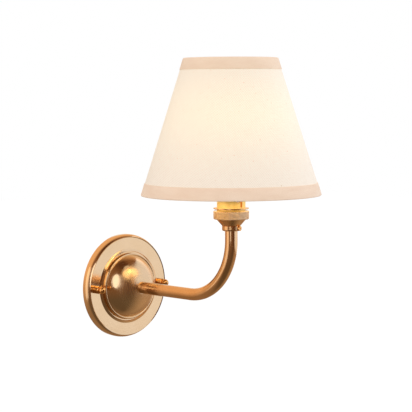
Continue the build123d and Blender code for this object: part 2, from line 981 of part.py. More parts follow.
def shade_carrier():
    """Flat ring that drops over the barrel and is clamped between two shade rings."""
    bore = barrel_radius + carrier_play
    return on_holder(turned_ring(bore, carrier_outer_radius, carrier_z, carrier_z + carrier_wall))


def carrier_spoke(angle):
    """One wire, butt-welded to the carrier's edge and to the bottom ring wire."""
    hub = Pos(0, 0, carrier_z) * Cylinder(carrier_outer_radius, 8 * spoke_radius)
    return on_holder(spoke(angle, spoke_radius) - hub - ring_wire(ring_wire_rise))


# ---------------------------------------------------------------- wires in the arm


def wire(way, across, along, end_angle, end_radius, end_z):
    """
    One core from the terminal block, through the arm and up to its post in the lampholder.
    It keeps its place in the tube: across it, and along the line to the bend's centre.
    """
    x = way_x[way]
    start = (x, way_y, block_top_z)
    lift = (x, way_y, block_top_z + wire_entry)
    nipple_mouth = (across, -(dome_height - wall_nipple_tail), along)
    corner = (across, -(projection - along), along)
    nipple_end_z = neck_z + holder_nipple_engaged
    top = (across, -(projection - along), nipple_end_z)
    end_x, end_y, _ = facing(end_angle, end_radius, 0)
    end = (end_x, end_y - projection, end_z)
    below_end = (end_x, end_y - projection, end_z - wire_end)
    points = [start, lift, nipple_mouth, corner, top, below_end, end]
    bends = [wire_entry_bend, wire_mouth_bend, bend_radius - along, wire_end_bend, wire_end_bend]
    path = FilletPolyline(*points, radius=bends)
    section = Plane(origin=start, z_dir=(0, 0, 1)) * Circle(wire_radius)
    return sweep(section, path=path)


def live_wire():
    across = wire_offset * cos(radians(30))
    along = -wire_offset / 2
    return wire(2, across, along, contact_angles[0], contact_offset, post_foot_z)


def neutral_wire():
    across = -wire_offset * cos(radians(30))
    along = -wire_offset / 2
    return wire(0, across, along, contact_angles[1], contact_offset, post_foot_z)


def earth_wire():
    return wire(1, 0, wire_offset, earth_angle, earth_post_offset, ledge_z - earth_post_length)


# ---------------------------------------------------------------- all nodes

nodes = {
    "wall_bracket": wall_bracket(),
    "bracket_studs": group(Pos(x, 0, 0) * bracket_stud() for x in (-stud_x, stud_x)),
    "terminal_block": terminal_block(),
    "terminal_inserts": group(terminal_insert(x) for x in way_x),
    "terminal_clamp_screws": group(clamp_screw(x, z) for x in way_x for z in clamp_z),
    "block_fixing_screw": block_fixing_screw(),
    "backplate": backplate(),
    "left_finial_nut": Pos(-stud_x, 0, 0) * finial_nut(),
    "right_finial_nut": Pos(stud_x, 0, 0) * finial_nut(),
    "arm_tube": arm_tube(),
    "arm_nipple": arm_nipple(),
    "arm_washer": arm_washer(),
    "arm_lock_nut": arm_lock_nut(),
    "holder_nipple": holder_nipple(),
    "lampholder_cap": lampholder_cap(),
    "grub_screw": grub_screw(),
    "cap_ring": cap_ring(),
    "lampholder_barrel": lampholder_barrel(),
    "foot_shade_ring": shade_ring(foot_ring_z),
    "lower_shade_ring": shade_ring(lower_ring_z),
    "upper_shade_ring": shade_ring(upper_ring_z),
    "holder_insulator": holder_insulator(),
    "contact_posts": group(contact_post(angle) for angle in contact_angles),
    "plunger_springs": group(plunger_spring(angle) for angle in contact_angles),
    "contact_plungers": group(contact_plunger(angle) for angle in contact_angles),
    "holder_terminal_screws": group(terminal_screw(angle) for angle in contact_angles),
    "earth_post": earth_post(),
    "live_wire": live_wire(),
    "neutral_wire": neutral_wire(),
    "earth_wire": earth_wire(),
    "lamp_cap": lamp_cap(),
    "lamp_pins": group(lamp_pin(angle) for angle in (-bayonet_turn, 180 - bayonet_turn)),
    "lamp_insulator": lamp_insulator(),
    "lamp_contacts": group(lamp_contact(angle) for angle in contact_angles),
    "lamp_glass": lamp_glass(),
    "lamp_stem": lamp_stem(),
    "lamp_filaments": group(lamp_filament(angle) for angle in around(filament_count, 45)),
    "shade_fabric": shade_fabric(),
    "shade_liner": shade_liner(),
    "top_ring_wire": top_ring_wire(),
    "bottom_ring_wire": bottom_ring_wire(),
    "shade_carrier": shade_carrier(),
    "carrier_spokes": group(carrier_spoke(angle) for angle in around(spoke_count, 180)),
    "top_tape": top_tape(),
    "bottom_tape": bottom_tape(),
}

os.makedirs("parts", exist_ok=True)
for name, shape in nodes.items():
    export_step(shape, f"parts/{name}.step")
    print(f"{name}: {shape.volume / 1000:.2f} cm3")
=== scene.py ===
from math import cos, pi, radians, sin, sqrt

import bmesh
import bpy
from mathutils import Matrix, Vector


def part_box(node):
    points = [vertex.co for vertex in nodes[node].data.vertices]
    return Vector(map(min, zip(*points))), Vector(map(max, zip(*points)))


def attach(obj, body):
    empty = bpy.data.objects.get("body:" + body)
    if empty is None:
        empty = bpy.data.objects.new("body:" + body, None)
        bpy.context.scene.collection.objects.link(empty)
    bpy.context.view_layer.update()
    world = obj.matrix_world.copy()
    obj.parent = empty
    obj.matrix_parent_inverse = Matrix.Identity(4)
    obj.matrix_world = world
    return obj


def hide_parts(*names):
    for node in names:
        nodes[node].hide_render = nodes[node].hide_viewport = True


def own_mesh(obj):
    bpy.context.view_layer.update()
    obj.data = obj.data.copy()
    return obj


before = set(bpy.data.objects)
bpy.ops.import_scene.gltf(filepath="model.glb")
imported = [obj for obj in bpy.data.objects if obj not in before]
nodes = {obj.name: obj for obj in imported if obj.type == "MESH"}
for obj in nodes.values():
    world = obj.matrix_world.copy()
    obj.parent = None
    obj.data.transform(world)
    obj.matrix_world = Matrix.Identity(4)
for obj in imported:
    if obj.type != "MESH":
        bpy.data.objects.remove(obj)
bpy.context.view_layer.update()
mm = 0.001
weld = 0.001 * mm  # points nearer than this are one
print("frame loaded:", len(nodes), "pieces")

# Metres. The wall is the plane y = 0 and the room is on the -y side. What stands on the
# lampholder's upright axis is placed from the frame's own boxes.


def middle(node):
    low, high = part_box(node)
    return (low + high) / 2


holderY = middle("lampholder_barrel").y
holderAxis = (0, holderY, 0)


class Signal:
    # a socket's value, so that shader maths can be written as Python maths

    def __init__(self, paint, socket):
        self.paint = paint
        self.socket = socket

    def math(self, operation, *others):
        values = dict(enumerate((self,) + others))
        return self.paint.add("ShaderNodeMath", {"operation": operation}, values)

    def __add__(self, other):
        return self.math("ADD", other)

    def __sub__(self, other):
        return self.math("SUBTRACT", other)

    def __mul__(self, other):
        return self.math("MULTIPLY", other)

    def __truediv__(self, other):
        return self.math("DIVIDE", other)

    def __pow__(self, other):
        return self.math("POWER", other)

    def __neg__(self):
        return self * -1

    __radd__ = __add__
    __rmul__ = __mul__

    def __rsub__(self, other):
        return -self + other

    def __rtruediv__(self, other):
        return (self ** -1) * other

    def root(self):
        return self.math("SQRT")

    def sine(self):
        return self.math("SINE")

    def cosine(self):
        return self.math("COSINE")

    def least(self, other):
        return self.math("MINIMUM", other)

    def most(self, other):
        return self.math("MAXIMUM", other)

    def size(self):
        return self.math("ABSOLUTE")

    def angle(self, other):
        return self.math("ARCTAN2", other)

    def fit(self, low, high, newLow=0.0, newHigh=1.0):
        values = {
            "Value": self, "From Min": low, "From Max": high, "To Min": newLow, "To Max": newHigh,
        }
        return self.paint.add("ShaderNodeMapRange", {"clamp": True}, values)

    def spread(self, newLow=0.0, newHigh=1.0, margin=0.3):
        # a noise keeps to its middle, so that part is brought to the full range
        return self.fit(margin, 1 - margin, newLow, newHigh)


class Nodes:
    # a node tree and the calls that fill it

    def __init__(self, tree):
        self.tree = tree

    def node(self, kind, settings=None, values=None):
        made = self.tree.nodes.new(kind)
        for name, value in (settings or {}).items():
            setattr(made, name, value)
        for name, value in (values or {}).items():
            if isinstance(value, Signal):
                self.tree.links.new(value.socket, made.inputs[name])
            else:
                made.inputs[name].default_value = value
        return made

    def add(self, kind, settings=None, values=None, output=0):
        return Signal(self, self.node(kind, settings, values).outputs[output])

    def several(self, kind, outputs, values=None):
        made = self.node(kind, {}, values)
        return [Signal(self, made.outputs[name]) for name in outputs]

    def mix(self, share, first, second):
        # two colours; the node repeats its sockets' names, so they go by number here
        first, second = (c if isinstance(c, Signal) else (*c, 1) for c in (first, second))
        values = {0: share, 6: first, 7: second}
        return self.add("ShaderNodeMix", {"data_type": "RGBA"}, values, output=2)


class Paint(Nodes):
    # one material: its Principled shader, and the nodes that feed it

    def __init__(self, name, fixed):
        self.material = bpy.data.materials.new(name)
        self.material.use_nodes = True
        super().__init__(self.material.node_tree)
        self.shader = self.tree.nodes["Principled BSDF"]
        self.fix(fixed)

    def fix(self, values):
        for socket, value in values.items():
            self.shader.inputs[socket].default_value = value

    def feed(self, socket, signal):
        self.tree.links.new(signal.socket, self.shader.inputs[socket])

    def bump(self, height, depth):
        self.feed("Normal", self.add("ShaderNodeBump", {}, {"Height": height, "Distance": depth}))

    def place(self, centre):
        # Object coordinates as three signals, counted from a centre
        spot = self.add("ShaderNodeTexCoord", output="Object")
        values = {"Vector": spot, "Location": tuple(-c for c in centre)}
        moved = self.add("ShaderNodeMapping", {}, values)
        return self.several("ShaderNodeSeparateXYZ", "XYZ", {"Vector": moved})

    def point(self, x, y, z=0.0):
        return self.add("ShaderNodeCombineXYZ", {}, {"X": x, "Y": y, "Z": z})

    def grain(self, where, scale, detail=2.0):
        values = {"Vector": where, "Scale": scale, "Detail": detail}
        return self.add("ShaderNodeTexNoise", {}, values)

    def strokes(self, x, y, z=0.0, detail=2.0):
        # noise drawn out along the coordinate that is multiplied least
        return self.grain(self.point(x, y, z), 1.0, detail)

    def lines(self, where, scale):
        # noise along one number, for turned lines
        return self.add("ShaderNodeTexNoise", {"noise_dimensions": "1D"},
                        {"W": where, "Scale": scale, "Detail": 2.0})

    def shades(self, look, scale, detail, margin=0.35):
        # two near shades of one colour that drift into each other
        spot = self.add("ShaderNodeTexCoord", output="Object")
        cloud = self.grain(spot, scale, detail).spread(margin=margin)
        self.feed("Base Color", self.mix(cloud, look["light"], look["deep"]))
        return spot, cloud


def dress(names, paint):
    for name in names:
        for slot in nodes[name].material_slots:
            slot.material = paint.material


# In the looks of the metal and plain pieces, light and deep are the two shades, and rough is
# the lowest and the highest roughness.

brassLook = {
    "mottling": 60.0, "detail": 3.0,
    "wearStart": 0.37,  # the broad lines are read from another stretch of the noise
}


def brass(name, look):
    paint = Paint(name, {"Metallic": 1.0})
    paint.shades(look, brassLook["mottling"], brassLook["detail"])
    return paint


plateLook = {
    "light": (0.89, 0.665, 0.405), "deep": (0.865, 0.635, 0.375), "rough": (0.11, 0.15),
    "fine": 7000.0, "broad": 900.0, "depth": 0.05 * mm,
    "dome": {  # buffed softer than the dish round it: duller, and its rings are fainter
        "edge": 28 * mm, "dull": 0.15, "dullFade": 4 * mm,
        "rings": 0.1, "outerRings": 0.25, "ringsFade": 2 * mm,
    },
}
holderLook = {
    "light": (0.85, 0.58, 0.31), "deep": (0.79, 0.51, 0.25), "rough": (0.15, 0.19),
    "fine": 3500.0, "broad": 900.0, "depth": 0.07 * mm,
}
finialLook = {
    "light": (0.88, 0.52, 0.20), "deep": (0.80, 0.44, 0.15), "rough": (0.09, 0.15),
    "fine": 2300.0, "broad": 800.0, "depth": 0.02 * mm,
}
innerLook = {
    "light": (0.84, 0.64, 0.34), "deep": (0.76, 0.54, 0.27), "rough": (0.21, 0.31),
    "fine": 3000.0, "broad": 900.0, "depth": 0.02 * mm,
}


def turnedBrass(name, axis, centre, look):
    # fine rings round an axis, as a lathe's or a spinner's tool leaves them
    paint = brass(name, look)
    x, y, z = paint.place(centre)
    if axis == "Y":
        along, out = -y, (x * x + z * z).root()
    else:
        along, out = z, (x * x + y * y).root()
    run = out - along
    rings = paint.lines(run, look["fine"])
    wear = paint.lines(run + brassLook["wearStart"], look["broad"])
    rough = wear.spread(*look["rough"])
    if "dome" in look:
        dome = look["dome"]
        edge = dome["edge"]
        rough = rough + out.fit(edge - dome["dullFade"], edge, dome["dull"], 0.0)
        rings = rings * out.fit(edge, edge + dome["ringsFade"], dome["rings"], dome["outerRings"])
    paint.feed("Roughness", rough)
    paint.bump(rings, look["depth"])
    return paint


dress(["backplate"], turnedBrass("spunBrass", "Y", (0, 0, 0), plateLook))
for side in ("left_finial_nut", "right_finial_nut"):
    dress([side], turnedBrass("polished_" + side, "Y", (middle(side).x, 0, 0), finialLook))
dress(["lampholder_cap", "foot_shade_ring", "lower_shade_ring", "upper_shade_ring"],
      turnedBrass("turnedBrass", "Z", holderAxis, holderLook))
dress(["arm_nipple", "arm_lock_nut", "holder_nipple", "contact_posts", "contact_plungers",
       "holder_terminal_screws", "earth_post", "terminal_inserts"],
      turnedBrass("plainBrass", "Y", (0, 0, 0), innerLook))
dress(["grub_screw"], turnedBrass("screwBrass", "Z", holderAxis, finialLook))

barrelLook = {
    # its two shades are a brighter, yellower brass than the rest: partly the brass, partly painted
    # light from the bulb above
    "light": (0.99, 0.80, 0.38), "deep": (0.95, 0.75, 0.33), "rough": (0.34, 0.46),
    "lines": 1500.0, "pitch": 1.27 * mm, "depth": 0.09 * mm,
    "outside": (13.95 * mm, 14.15 * mm),  # radii in the outer wall, clear of the inner skirt
    # painted glow in place of the bulb's light: one colour inside the barrel, another on its outer
    # wall
    "paintedGlowInside": (0.17, 0.055, 0.01), "paintedGlowOutside": (0.15, 0.10, 0.012),  # by the bulb above it
}


def threadedBrass():
    # the thread for the shade rings, cut on the barrel's outer wall, and a painted glow that
    # stands in for the bulb's light on it
    paint = brass("threadedBrass", barrelLook)
    x, y, z = paint.place(holderAxis)
    turn = x.angle(y) / (2 * pi)
    tooth = ((z / barrelLook["pitch"] + turn) * (2 * pi)).sine()
    outside = (x * x + y * y).root().fit(*barrelLook["outside"])
    paintedGlow = paint.mix(outside, barrelLook["paintedGlowInside"], barrelLook["paintedGlowOutside"])
    paint.feed("Roughness", paint.lines(z, barrelLook["lines"]).spread(*barrelLook["rough"]))
    paint.feed("Emission Color", paintedGlow)
    paint.fix({"Emission Strength": 1.0})
    paint.bump(tooth * outside, barrelLook["depth"])
    return paint


dress(["lampholder_barrel"], threadedBrass())

ringLook = {
    "light": (1.0, 0.75, 0.46), "deep": (0.95, 0.68, 0.40), "rough": (0.27, 0.40),
    "around": 80.0, "along": 60.0, "detail": 3.0, "depth": 0.8 * mm,
    "ends": (0.3, 0.6),  # how far a face looks up or down where the strokes fade out
}


def uprightBrass():
    # brushed along the lampholder's axis
    paint = brass("uprightBrass", ringLook)
    x, y, z = paint.place(holderAxis)
    normal = paint.add("ShaderNodeTexCoord", output="Normal")
    upward = paint.add("ShaderNodeSeparateXYZ", {}, {"Vector": normal}, output="Z")
    wall = upward.size().fit(*ringLook["ends"], 1.0, 0.0)
    around, along = x.angle(y) * ringLook["around"], z * ringLook["along"]
    stroke = paint.strokes(around, 0.0, along, ringLook["detail"]) * wall
    paint.feed("Roughness", stroke.spread(*ringLook["rough"]))
    paint.bump(stroke, ringLook["depth"])
    return paint


dress(["cap_ring"], uprightBrass())

armLook = {
    "light": (0.87, 0.60, 0.34), "deep": (0.82, 0.54, 0.28), "rough": (0.14, 0.20),
    "around": 20.0, "along": 20.0, "depth": 0.01 * mm, "bend": 59.5 * mm,
}


def drawnBrass():
    # drawn lines that follow the tube along its run, round the bend and up
    paint = brass("drawnBrass", armLook)
    bend = armLook["bend"]
    x, y, z = paint.place((0, holderY + bend, bend))
    back, down = y.least(0.0), z.least(0.0)
    out = (back * back + down * down).root()
    around = x.angle(out - bend)
    run = y.most(0.0) - z.most(0.0) + back.angle(down) * bend
    stroke = paint.strokes(around * armLook["around"], 0.0, run * armLook["along"])
    paint.feed("Roughness", stroke.spread(*armLook["rough"]))
    paint.bump(stroke, armLook["depth"])
    return paint


dress(["arm_tube"], drawnBrass())
print("brass done")

plainLook = {
    "zincSteel": {
        "light": (0.62, 0.64, 0.67), "deep": (0.52, 0.54, 0.58), "rough": (0.27, 0.37),
        "cloud": 180.0, "depth": 0.01 * mm, "fixed": {"Metallic": 1.0},
        "on": ["wall_bracket", "bracket_studs", "terminal_clamp_screws", "block_fixing_screw",
               "arm_washer"],
    },
    "whiteNylon": {
        "light": (0.86, 0.84, 0.78), "deep": (0.8, 0.78, 0.72), "rough": (0.40, 0.50),
        "cloud": 150.0, "depth": 0.02 * mm, "on": ["terminal_block"],
    },
    "creamCeramic": {
        "light": (0.82, 0.77, 0.66), "deep": (0.76, 0.7, 0.58), "rough": (0.55, 0.65),
        "cloud": 260.0, "depth": 0.03 * mm, "on": ["holder_insulator"],
    },
    "lampCapMetal": {
        "light": (0.76, 0.74, 0.7), "deep": (0.66, 0.64, 0.6), "rough": (0.25, 0.35),
        "cloud": 220.0, "depth": 0.01 * mm, "fixed": {"Metallic": 1.0},
        "on": ["lamp_cap", "lamp_pins", "lamp_contacts"],
    },
    "blackGlass": {
        "light": (0.02, 0.02, 0.025), "deep": (0.04, 0.04, 0.045), "rough": (0.15, 0.25),
        "cloud": 200.0, "depth": 0.01 * mm, "on": ["lamp_insulator"],
    },
    "core_live_wire": {
        "light": (0.25, 0.1, 0.04), "deep": (0.2, 0.08, 0.03), "rough": (0.40, 0.50),
        "cloud": 120.0, "depth": 0.01 * mm, "on": ["live_wire"],
    },
    "core_neutral_wire": {
        "light": (0.05, 0.16, 0.5), "deep": (0.04, 0.12, 0.42), "rough": (0.40, 0.50),
        "cloud": 120.0, "depth": 0.01 * mm, "on": ["neutral_wire"],
    },
    "core_earth_wire": {
        "light": (0.16, 0.42, 0.08), "deep": (0.12, 0.34, 0.06), "rough": (0.40, 0.50),
        "cloud": 120.0, "depth": 0.01 * mm, "on": ["earth_wire"],
    },
    "coatedWire": {
        "light": (0.86, 0.84, 0.8), "deep": (0.8, 0.78, 0.73), "rough": (0.35, 0.45),
        "cloud": 160.0, "depth": 0.02 * mm,
        "on": ["top_ring_wire", "bottom_ring_wire", "shade_carrier", "carrier_spokes"],
    },
    "clearGlass": {
        "light": (0.9, 0.92, 0.92), "deep": (0.86, 0.88, 0.88), "rough": (0.03, 0.13),
        "cloud": 90.0, "depth": 0.005 * mm, "on": ["lamp_stem"],
    },
    "filamentCoat": {
        "light": (0.95, 0.7, 0.2), "deep": (0.9, 0.62, 0.16), "rough": (0.45, 0.55),
        "cloud": 400.0, "depth": 0.02 * mm, "on": ["lamp_filaments"],
    },
    "liningAndPaintedGlow": {
        "light": (0.93, 0.9, 0.84), "deep": (0.9, 0.86, 0.79), "rough": (0.55, 0.65),
        "cloud": 90.0, "depth": 0.02 * mm, "on": ["shade_liner"],
        # painted glow: emission that stands in for the lit bulb shining on the lining
        "fixed": {"Emission Color": (1.0, 0.72, 0.36, 1), "Emission Strength": 0.7},
    },
}
surfaceLook = {"cloudDetail": 4.0, "fineDetail": 3.0, "finer": 12}


def plain(name, look):
    # a moulded, plated or painted finish: two near shades in a cloud, and a surface finer than it
    paint = Paint(name, look.get("fixed", {}))
    spot, cloud = paint.shades(look, look["cloud"], surfaceLook["cloudDetail"])
    fine = paint.grain(spot, look["cloud"] * surfaceLook["finer"], surfaceLook["fineDetail"])
    paint.feed("Roughness", cloud.fit(0.0, 1.0, *look["rough"]))
    paint.bump(fine, look["depth"])
    return paint


for name, look in plainLook.items():
    dress(look["on"], plain(name, look))

lampLook = {
    "fixed": {"Roughness": 0.3, "Emission Strength": 1.0},
    "fade": (-10 * mm, 45 * mm),  # heights from the bulb's middle
    "low": (0.62, 0.58, 0.5), "crown": (0.5, 0.46, 0.4),
    "lowGlow": (1.0, 0.74, 0.4), "crownGlow": (0.55, 0.4, 0.2),
}


def lampGlass():
    # frosted inside and lit, dimmer towards its crown
    paint = Paint("pearlGlass", lampLook["fixed"])
    x, y, z = paint.place((0, holderY, middle("lamp_glass").z))
    low = z.fit(*lampLook["fade"], 1.0, 0.0)
    paint.feed("Base Color", paint.mix(low, lampLook["crown"], lampLook["low"]))
    paint.feed("Emission Color", paint.mix(low, lampLook["crownGlow"], lampLook["lowGlow"]))
    return paint


dress(["lamp_glass"], lampGlass())
print("plain finishes done")

coneLook = {"bottom": 90 * mm, "top": 47 * mm, "height": 136 * mm}
coneLean = (coneLook["bottom"] - coneLook["top"]) / coneLook["height"]
coneSlant = sqrt(1 + coneLean ** 2)
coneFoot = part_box("bottom_tape")[0].z


def coneRadius(height, depth):
    return coneLook["bottom"] - coneLean * height - depth * coneSlant


def finishMesh(name, mesh):
    data = bpy.data.meshes.new(name)
    mesh.to_mesh(data)
    mesh.free()
    for face in data.polygons:
        face.use_smooth = True
    piece = bpy.data.objects.new(name, data)
    bpy.context.scene.collection.objects.link(piece)
    return piece


def spinProfile(name, points, around):
    # turn a closed profile of (radius, height) round the lampholder's axis
    mesh = bmesh.new()
    corners = [mesh.verts.new((0, holderY - out, up)) for out, up in points]
    edges = [mesh.edges.new(pair) for pair in zip(corners, corners[1:] + corners[:1])]
    bmesh.ops.spin(mesh, geom=corners + edges, cent=holderAxis, axis=(0, 0, 1), angle=2 * pi,
                   steps=around, use_merge=True, use_duplicate=False)
    bmesh.ops.remove_doubles(mesh, verts=mesh.verts, dist=weld)
    bmesh.ops.recalc_face_normals(mesh, faces=mesh.faces)
    return finishMesh(name, mesh)


def arc(centre, radius, start, end, steps=5):
    # points of a round corner, in degrees
    turns = [radians(start + (end - start) * step / steps) for step in range(steps + 1)]
    return [(centre[0] + radius * cos(turn), centre[1] + radius * sin(turn)) for turn in turns]


glowLook = {
    "bulb": (-6 * mm, -10 * mm, 66 * mm),  # where its light seems to come from, off the axis
    "side": 70 * mm, "base": 0.05, "gain": 0.115, "colour": (1.0, 0.80, 0.26),
}


def glow(paint, x, y, z, share):
    # a painted glow for what the lit bulb adds to the cloth: square on to it and near it, it
    # shines through most
    out = (x * x + y * y).root()
    offX, offY, up = (place - spot for place, spot in zip((x, y, z), glowLook["bulb"]))
    squared = offX * offX + offY * offY + up * up
    facing = ((offX * x + offY * y) / out + up * coneLean) / (squared.root() * coneSlant)
    light = facing / squared * (glowLook["gain"] * glowLook["side"] ** 2) + glowLook["base"]
    paint.feed("Emission Color", paint.mix(light * share, (0, 0, 0), glowLook["colour"]))
    paint.fix({"Emission Strength": 1.0})


clothLook = {
    "depth": 0.55 * mm, "wall": 0.7 * mm, "gap": 1.3 * mm, "around": 192, "rows": 12,
    "fixed": {"Roughness": 0.85, "Specular IOR Level": 0.2, "Sheen Weight": 0.1},
    "light": (0.95, 0.855, 0.775), "shadow": (0.845, 0.74, 0.64), "fleck": (0.74, 0.55, 0.38),
    "thread": 1.0 * mm, "wander": 0.8 * mm, "wanderScale": 60.0,
    "alongThread": 90.0, "acrossThread": 1600.0, "slubs": (0.8, 1.2),
    "fleckScale": 520.0, "fleckDetail": 1.0, "flecks": (0.71, 0.80), "fleckDim": 0.4,
    "lap": 5 * mm, "lapEdge": 0.3 * mm, "lapDim": 0.35,
    "shade": {"slubs": 0.5, "knots": 1.1, "plain": 0.25},
    "shine": {"slubs": 0.1, "knots": 0.2, "plain": 0.95},
    "raise": {"slubs": 0.5, "knots": 0.35, "lap": 3.0}, "height": 0.08 * mm,
}


def shadeCloth():
    low, high = clothLook["gap"], coneLook["height"] - clothLook["gap"]
    rows = clothLook["rows"]
    heights = [low + (high - low) * row / rows for row in range(rows + 1)]
    inner = clothLook["depth"] + clothLook["wall"]
    front = [(coneRadius(h, clothLook["depth"]), coneFoot + h) for h in heights]
    back = [(coneRadius(h, inner), coneFoot + h) for h in reversed(heights)]
    return spinProfile("shadeCloth", front + back, clothLook["around"])


def linen():
    # plain weave on the flat cut of the cone, so the threads run straight from lap to lap
    paint = Paint("linen", clothLook["fixed"])
    shade, shine, raised = (clothLook[name] for name in ("shade", "shine", "raise"))
    x, y, z = paint.place((0, holderY, coneFoot))
    out = (x * x + y * y).root()
    slope = (coneLook["bottom"] / coneLean - z) * coneSlant
    turn = x.angle(-y)
    flatTurn = turn * (coneLean / coneSlant)
    warp, weft = slope * flatTurn.sine(), slope * flatTurn.cosine()
    wander = paint.grain(paint.point(warp, weft), clothLook["wanderScale"]) - 0.5
    wander = wander * clothLook["wander"]
    over, under = (((way + wander) * (pi / clothLook["thread"])).sine() for way in (warp, weft))
    knots = over * under
    along, across = clothLook["alongThread"], clothLook["acrossThread"]
    slubs = paint.strokes(warp * along, weft * across) + paint.strokes(warp * across, weft * along)
    slubs = slubs.fit(*clothLook["slubs"])
    flecks = paint.grain(paint.point(warp, weft), clothLook["fleckScale"],
                         clothLook["fleckDetail"]).fit(*clothLook["flecks"])
    lap = (pi - turn.size()) * out
    double = lap.fit(clothLook["lap"] - clothLook["lapEdge"], clothLook["lap"], 1.0, 0.0)
    threads = slubs * shade["slubs"] + knots * shade["knots"] + shade["plain"]
    cloud = paint.mix(threads, clothLook["shadow"], clothLook["light"])
    paint.feed("Base Color", paint.mix(flecks, cloud, clothLook["fleck"]))
    through = slubs * shine["slubs"] + knots * shine["knots"] + shine["plain"]
    through = through * (1 - double * clothLook["lapDim"]) * (1 - flecks * clothLook["fleckDim"])
    glow(paint, x, y, z, through)
    height = knots * raised["knots"] + slubs * raised["slubs"] + double * raised["lap"]
    paint.bump(height, clothLook["height"])
    return paint


tapeLook = {
    "wall": 0.5 * mm, "depth": 5.25 * mm, "turnIn": 7 * mm, "round": 1.3 * mm, "around": 160,
    "topBand": 11.5 * mm, "bottomBand": 12.5 * mm,
    "fixed": {"Roughness": 0.8, "Specular IOR Level": 0.25, "Sheen Weight": 0.1},
    "light": (0.94, 0.73, 0.575), "shadow": (0.90, 0.67, 0.51),
    "cloudAround": 40.0, "cloudUp": 160.0, "detail": 3.0, "shine": 0.1, "plainShine": 0.5,
    "thread": 0.3 * mm, "threadRaise": 0.4, "height": 0.08 * mm,
}


def foldedTape(name, band, fromTop):
    # a band outside, a round turn under the ring wire, and a flap inside
    wall, depth, bend = tapeLook["wall"], tapeLook["depth"], tapeLook["round"]
    edge = wall / 2
    profile = arc((edge, band - edge), edge, 0, 180, 4)
    profile += arc((bend, bend), bend, 180, 270)
    profile += arc((depth - bend, bend), bend, 270, 360)
    profile += arc((depth - edge, tapeLook["turnIn"] - edge), edge, 0, 180, 4)
    profile += arc((depth - bend, bend), bend - wall, 360, 270)
    profile += arc((bend, bend), bend - wall, 270, 180)
    if fromTop:
        profile = [(deep, coneLook["height"] - up) for deep, up in profile]
    points = [(coneRadius(up, deep), coneFoot + up) for deep, up in profile]
    return spinProfile(name, points, tapeLook["around"])


def tapeWeave():
    paint = Paint("tapeWeave", tapeLook["fixed"])
    x, y, z = paint.place((0, holderY, coneFoot))
    around = x.angle(-y) * (x * x + y * y).root()
    ribs, rows = ((way * (2 * pi / tapeLook["thread"])).sine() for way in (around, z))
    cloud = paint.strokes(around * tapeLook["cloudAround"], 0.0, z * tapeLook["cloudUp"],
                          tapeLook["detail"]).spread()
    paint.feed("Base Color", paint.mix(cloud, tapeLook["shadow"], tapeLook["light"]))
    glow(paint, x, y, z, cloud * tapeLook["shine"] + tapeLook["plainShine"])
    paint.bump(ribs * rows * tapeLook["threadRaise"] + cloud, tapeLook["height"])
    return paint


sheetLook = {
    "cloth": (0.485, 0.2075), "clothArea": 0.0604,
    "bottom": (0.547, 0.0247), "top": (0.31, 0.0237),
}
weave = linen()
cloth = shadeCloth()
cloth.data.materials.append(weave.material)
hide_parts("shade_fabric")
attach(cloth, "shade")

tapePaint = tapeWeave()
for name, node, band, fromTop, flat in (
    ("topTape", "top_tape", tapeLook["topBand"], True, sheetLook["top"]),
    ("bottomTape", "bottom_tape", tapeLook["bottomBand"], False, sheetLook["bottom"]),
):
    tape = foldedTape(name, band, fromTop)
    tape.data.materials.append(tapePaint.material)
    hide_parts(node)
    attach(tape, "shade")
print("shade done")

springLook = {
    "light": (0.55, 0.56, 0.6), "deep": (0.45, 0.46, 0.5), "rough": (0.17, 0.27),
    "cloud": 300.0, "depth": 0.01 * mm, "fixed": {"Metallic": 1.0},
    "turn": 72.0, "out": 5.4 * mm, "coil": 1.35 * mm, "wire": 0.22 * mm, "travel": 2 * mm,
    "turns": 6, "flatTurns": 0.8, "steps": 14, "sides": 8,
}
springLow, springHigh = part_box("plunger_springs")


def plungerSpring(name, turn):
    # an open coil whose end turns lie flat
    wire, turns, flat = (springLook[key] for key in ("wire", "turns", "flatTurns"))
    centre = Vector((sin(turn), -cos(turn), 0)) * springLook["out"] + Vector(holderAxis)
    upright = Vector((0, 0, 1))
    steps = springLook["steps"] * turns
    corners = [2 * pi * corner / springLook["sides"] for corner in range(springLook["sides"])]
    mesh = bmesh.new()
    rings = []
    for step in range(steps + 1):
        share = step / steps
        spin = 2 * pi * turns * share
        climb = min(max((share * turns - flat) / (turns - 2 * flat), 0), 1)
        height = springLow.z + wire + (springHigh.z - springLow.z - 2 * wire) * climb
        way = Vector((cos(spin), sin(spin), 0))
        spot = centre + way * springLook["coil"] + upright * height
        ring = [mesh.verts.new(spot + (way * cos(a) + upright * sin(a)) * wire) for a in corners]
        rings.append([mesh.edges.new(pair) for pair in zip(ring, ring[1:] + ring[:1])])
    for first, second in zip(rings, rings[1:]):
        bmesh.ops.bridge_loops(mesh, edges=first + second)
    for end in (rings[0], rings[-1]):
        bmesh.ops.contextual_create(mesh, geom=end)
    bmesh.ops.recalc_face_normals(mesh, faces=mesh.faces)
    return finishMesh(name, mesh)


steel = plain("springSteel", springLook)
for name, turn in (("frontSpring", springLook["turn"]), ("backSpring", springLook["turn"] + 180)):
    spring = plungerSpring(name, radians(turn))
    spring.data.materials.append(steel.material)
    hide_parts("plunger_springs")
    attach(spring, "fixture")
    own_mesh(spring)
print("springs done")


def wayOut(turn, rise):
    # a direction out into the room, turned round the upright and raised, in degrees
    turn, rise = radians(turn), radians(rise)
    return Vector((sin(turn) * cos(rise), -cos(turn) * cos(rise), sin(rise)))


cameraLook = {
    "aim": (0.0, -75 * mm, 100 * mm), "aimRight": 38.06 * mm, "aimUp": -11.01 * mm,
    "turn": -43.88, "rise": 4.29, "roll": -0.29, "away": 1550 * mm, "lens": 130.5, "sensor": 36.0,
}


